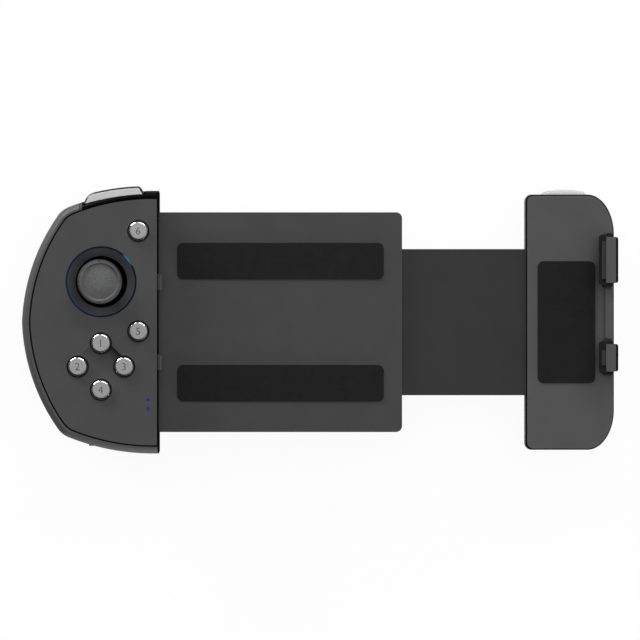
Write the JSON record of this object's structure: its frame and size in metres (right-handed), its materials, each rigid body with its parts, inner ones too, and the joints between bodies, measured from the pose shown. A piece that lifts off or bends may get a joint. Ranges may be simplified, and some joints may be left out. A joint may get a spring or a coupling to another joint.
{
  "type": "mobile game controller",
  "caption": "Clip-on mobile game controller: one thumb grip with a stick, face buttons and a shoulder button, a phone tray and a sliding clamp hand with claws.",
  "frame": {"origin": "centre of the object's footprint, on the table it lies on", "axes": "+X from the thumb grip to the clamp hand, +Y towards the shoulder buttons, +Z out of the face"},
  "size_m": [0.1941, 0.0873, 0.0338],
  "materials": {
    "shell_plastic": "satin",
    "face_plastic": "fine satin",
    "black_gloss": "gloss",
    "surround_plastic": "satin",
    "light_ring": "gloss",
    "light_pipe": "gloss",
    "rubber_black": "matte",
    "cap_rubber": "matte",
    "silver_cap": "satin",
    "steel": "brushed",
    "board": "satin",
    "battery_wrap": "satin",
    "silicone": "matte",
    "nylon": "satin",
    "ribbon": "satin",
    "tongue_metal": "satin"
  },
  "bodies": {
    "grip": {"face_plate": "face_plastic", "front_shell": "shell_plastic", "shoulder_bezel": "black_gloss", "rear_shell": "shell_plastic", "palm_pad": "rubber_black", "stick_surround": "surround_plastic", "light_ring": "light_ring", "light_pipes": "light_pipe", "main_board": "board", "button_board": "board", "keypad_mat": "silicone", "battery": "battery_wrap", "io_board": "board", "charge_port_shell": "steel", "charge_port_tongue": "nylon", "slider_housing": "nylon", "stick_base": "nylon", "stick_can": "steel", "tilt_sensors": "nylon", "l1_pin": "steel", "l1_switch": "nylon", "grip_screws": "steel", "wall_bumpers": "rubber_black", "tray_floor": "shell_plastic", "tray_pads": "rubber_black", "tray_back": "shell_plastic", "tray_screws": "steel", "clamp_springs": "steel", "ribbon_cable": "ribbon"},
    "clamp": {"tongue": "tongue_metal", "tongue_screws": "steel", "hand_front": "shell_plastic", "hand_rear": "shell_plastic", "hand_screws": "steel", "hand_pad": "rubber_black", "upper_claw": "shell_plastic", "upper_claw_liner": "rubber_black", "lower_claw": "shell_plastic", "lower_claw_liner": "rubber_black", "trigger_board": "board", "r1_switch": "nylon"},
    "stick_gimbal": {"gimbal_yoke": "nylon"},
    "stick_pivot": {"pivot_block": "nylon"},
    "stick": {"stick_shaft": "steel", "stick_skirt": "black_gloss", "stick_cap": "black_gloss", "cap_rubber": "cap_rubber"},
    "button_1_cap": {"button_1": "silver_cap"},
    "button_2_cap": {"button_2": "silver_cap"},
    "button_3_cap": {"button_3": "silver_cap"},
    "button_4_cap": {"button_4": "silver_cap"},
    "button_5_cap": {"button_5": "silver_cap"},
    "button_6_cap": {"button_6": "silver_cap"},
    "l1": {"l1_button": "silver_cap"},
    "r1": {"r1_button": "silver_cap"},
    "slider": {"slider_knob": "black_gloss"}
  },
  "joints": [
    {"name": "clamp_slide", "type": "slide", "parent": "grip", "child": "clamp", "axis": [1, 0, 0], "range_m": [-0.038, 0.022], "deforming": ["clamp_springs", "ribbon_cable"]},
    {"name": "stick_tilt_y", "type": "hinge", "parent": "grip", "child": "stick_gimbal", "pos_m": [-0.0706, 0.0131, 0.015], "axis": [1, 0, 0], "range_deg": [-14, 14], "stiffness_Nm_per_rad": 0.03},
    {"name": "stick_tilt_x", "type": "hinge", "parent": "stick_gimbal", "child": "stick_pivot", "pos_m": [-0.0706, 0.0131, 0.015], "axis": [0, 1, 0], "range_deg": [-14, 14], "stiffness_Nm_per_rad": 0.03},
    {"name": "stick_press", "type": "slide", "parent": "stick_pivot", "child": "stick", "axis": [0, 0, -1], "range_m": [0, 0.0004], "stiffness_N_per_m": 3000, "springref_m": -0.0003},
    {"name": "button_1_press", "type": "slide", "parent": "grip", "child": "button_1_cap", "axis": [0, 0, -1], "range_m": [0, 0.0009], "stiffness_N_per_m": 800, "springref_m": -0.0005, "deforming": ["keypad_mat"]},
    {"name": "button_2_press", "type": "slide", "parent": "grip", "child": "button_2_cap", "axis": [0, 0, -1], "range_m": [0, 0.0009], "stiffness_N_per_m": 800, "springref_m": -0.0005, "deforming": ["keypad_mat"]},
    {"name": "button_3_press", "type": "slide", "parent": "grip", "child": "button_3_cap", "axis": [0, 0, -1], "range_m": [0, 0.0009], "stiffness_N_per_m": 800, "springref_m": -0.0005, "deforming": ["keypad_mat"]},
    {"name": "button_4_press", "type": "slide", "parent": "grip", "child": "button_4_cap", "axis": [0, 0, -1], "range_m": [0, 0.0009], "stiffness_N_per_m": 800, "springref_m": -0.0005, "deforming": ["keypad_mat"]},
    {"name": "button_5_press", "type": "slide", "parent": "grip", "child": "button_5_cap", "axis": [0, 0, -1], "range_m": [0, 0.0009], "stiffness_N_per_m": 800, "springref_m": -0.0005, "deforming": ["keypad_mat"]},
    {"name": "button_6_press", "type": "slide", "parent": "grip", "child": "button_6_cap", "axis": [0, 0, -1], "range_m": [0, 0.0009], "stiffness_N_per_m": 800, "springref_m": -0.0005, "deforming": ["keypad_mat"]},
    {"name": "l1_press", "type": "hinge", "parent": "grip", "child": "l1", "pos_m": [-0.0585, 0.0386, 0.021], "axis": [0, 0, 1], "range_deg": [0, 3.5], "stiffness_Nm_per_rad": 0.4, "springref_deg": -1.72},
    {"name": "r1_press", "type": "slide", "parent": "clamp", "child": "r1", "axis": [0, -1, 0], "range_m": [0, 0.0008], "stiffness_N_per_m": 1500, "springref_m": -0.0005},
    {"name": "power_slide", "type": "slide", "parent": "grip", "child": "slider", "axis": [1, 0, 0], "range_m": [-0.0008, 0.0008]}
  ]
}
